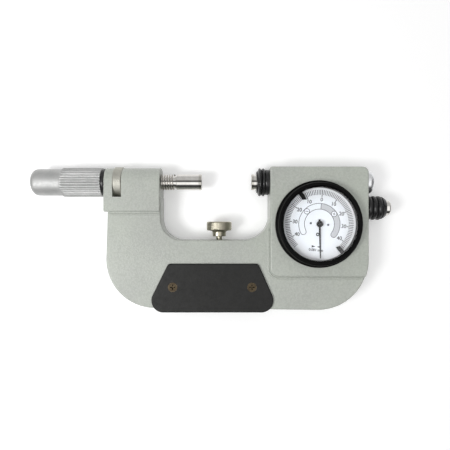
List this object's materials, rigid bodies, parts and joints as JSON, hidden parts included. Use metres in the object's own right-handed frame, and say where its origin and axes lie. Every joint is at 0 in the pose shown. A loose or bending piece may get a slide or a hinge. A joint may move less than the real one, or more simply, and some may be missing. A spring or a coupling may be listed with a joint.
{
  "type": "indicating snap gauge",
  "caption": "C-frame snap gauge with an adjustable clamped spindle, a sprung anvil that drives a dial pointer through a sector and gear train, and a retracting button.",
  "frame": {"origin": "centre of the sprung anvil's measuring face at rest", "axes": "+X along the measuring axis away from the spindle, +Y from the grip to the measuring axis, +Z out of the dial"},
  "size_m": [0.1779, 0.0713, 0.0195],
  "materials": {
    "paint": "fine hammertone",
    "grip_plastic": "finely textured",
    "screw_steel": "bronzed",
    "satin_chrome": "satin",
    "ground_steel": "ground and lapped",
    "carbide": "lapped",
    "nickel": "nickel, slightly yellowed",
    "bright_chrome": "polished",
    "rubber": "black rubber",
    "inner_steel": "turned",
    "spring_steel": "spring wire",
    "bronze": "turned bronze",
    "movement_brass": "grained brass",
    "dial_white": "white enamel with printed scale",
    "blackened": "black satin",
    "black_steel": "black lacquer",
    "dial_screw_steel": "blued",
    "crystal": "clear"
  },
  "bodies": {
    "frame": {"frame_casting": "paint", "front_grip_plate": "grip_plastic", "rear_grip_plate": "grip_plastic", "grip_plate_screws": "screw_steel", "spindle_key": "ground_steel", "clamp_collet": "ground_steel", "cap_seal_ring": "rubber", "rear_cover": "paint", "rear_cover_gasket": "rubber", "rear_cover_screws": "screw_steel", "anvil_bush_left": "bronze", "anvil_bush_right": "bronze", "anvil_spring": "spring_steel", "anvil_end_cap": "bright_chrome", "anvil_bellows": "rubber", "button_bush": "bronze", "button_spring": "spring_steel", "button_bellows": "rubber", "lever_pin": "inner_steel", "movement_plate_low": "movement_brass", "movement_plate_high": "movement_brass", "movement_pillars": "inner_steel", "movement_screws": "inner_steel", "hairspring": "bronze", "hairspring_stud": "inner_steel", "dial_plate": "dial_white", "dial_screws": "dial_screw_steel", "marker_track": "blackened", "crystal": "crystal", "bezel": "blackened", "bezel_seal": "rubber"},
    "spindle": {"spindle": "ground_steel", "spindle_tip": "carbide"},
    "nut": {"adjusting_nut": "satin_chrome"},
    "cap": {"clamp_cap": "satin_chrome"},
    "anvil": {"anvil_tip": "carbide", "anvil_shaft": "ground_steel", "anvil_peg": "inner_steel", "anvil_collar": "inner_steel"},
    "button": {"retract_button": "ground_steel"},
    "lever": {"retract_lever": "inner_steel"},
    "sector": {"sector_lever": "movement_brass", "sector_feeler": "inner_steel", "sector_arbor": "inner_steel"},
    "idler": {"idler_wheel": "movement_brass", "idler_arbor": "inner_steel"},
    "pointer": {"pointer": "black_steel", "pointer_arbor": "inner_steel"},
    "marker_low": {"tolerance_marker_low": "black_steel"},
    "marker_high": {"tolerance_marker_high": "black_steel"},
    "stop": {"stop_screw": "nickel"}
  },
  "joints": [
    {"name": "spindle_slide", "type": "slide", "parent": "frame", "child": "spindle", "axis": [1, 0, 0], "range_m": [-0.00125, 0.02438]},
    {"name": "nut_spin", "type": "hinge", "parent": "frame", "child": "nut", "pos_m": [-0.0654, 0, 0], "axis": [-1, 0, 0], "range_deg": [-360.1, 7020.3]},
    {"name": "clamp_cap_turn", "type": "hinge", "parent": "frame", "child": "cap", "pos_m": [-0.09, 0, 0], "axis": [-1, 0, 0], "range_deg": [0, 120]},
    {"name": "anvil_slide", "type": "slide", "parent": "frame", "child": "anvil", "axis": [1, 0, 0], "range_m": [0, 0.002], "stiffness_N_per_m": 1000, "springref_m": -0.0075, "deforming": ["anvil_spring", "anvil_bellows"]},
    {"name": "button_press", "type": "slide", "parent": "frame", "child": "button", "axis": [-1, 0, 0], "range_m": [0, 0.00201], "deforming": ["button_spring", "button_bellows"]},
    {"name": "retract_lever_turn", "type": "hinge", "parent": "frame", "child": "lever", "pos_m": [0.03405, -0.0064, 0], "axis": [0, 0, -1], "range_deg": [0, 18.02]},
    {"name": "sector_turn", "type": "hinge", "parent": "frame", "child": "sector", "pos_m": [0.0245, -0.01492, 0], "axis": [0, 0, -1], "range_deg": [0, 11.56]},
    {"name": "idler_turn", "type": "hinge", "parent": "frame", "child": "idler", "pos_m": [0.03287, -0.02983, 0], "axis": [0, 0, 1], "range_deg": [0, 82.52]},
    {"name": "pointer_turn", "type": "hinge", "parent": "frame", "child": "pointer", "pos_m": [0.0323, -0.02085, 0], "axis": [0, 0, -1], "range_deg": [0, 330.05], "deforming": ["hairspring"]},
    {"name": "marker_low_set", "type": "hinge", "parent": "frame", "child": "marker_low", "pos_m": [0.0323, -0.02085, 0], "axis": [0, 0, -1], "range_deg": [-108, 60]},
    {"name": "marker_high_set", "type": "hinge", "parent": "frame", "child": "marker_high", "pos_m": [0.0323, -0.02085, 0], "axis": [0, 0, -1], "range_deg": [-100, 8]},
    {"name": "stop_screw_rise", "type": "slide", "parent": "frame", "child": "stop", "axis": [0, 1, 0], "range_m": [-0.0016, 0.008]}
  ],
  "couplings": [
    {"joint": "nut_spin", "follows": "spindle_slide", "rad_per_m": 5026.5},
    {"joint": "button_press", "follows": "anvil_slide", "ratio": 1},
    {"joint": "retract_lever_turn", "follows": "anvil_slide", "rad_per_m": 157.08},
    {"joint": "sector_turn", "follows": "anvil_slide", "rad_per_m": 100.79},
    {"joint": "idler_turn", "follows": "anvil_slide", "rad_per_m": 719.95},
    {"joint": "pointer_turn", "follows": "anvil_slide", "rad_per_m": 2879.8}
  ]
}
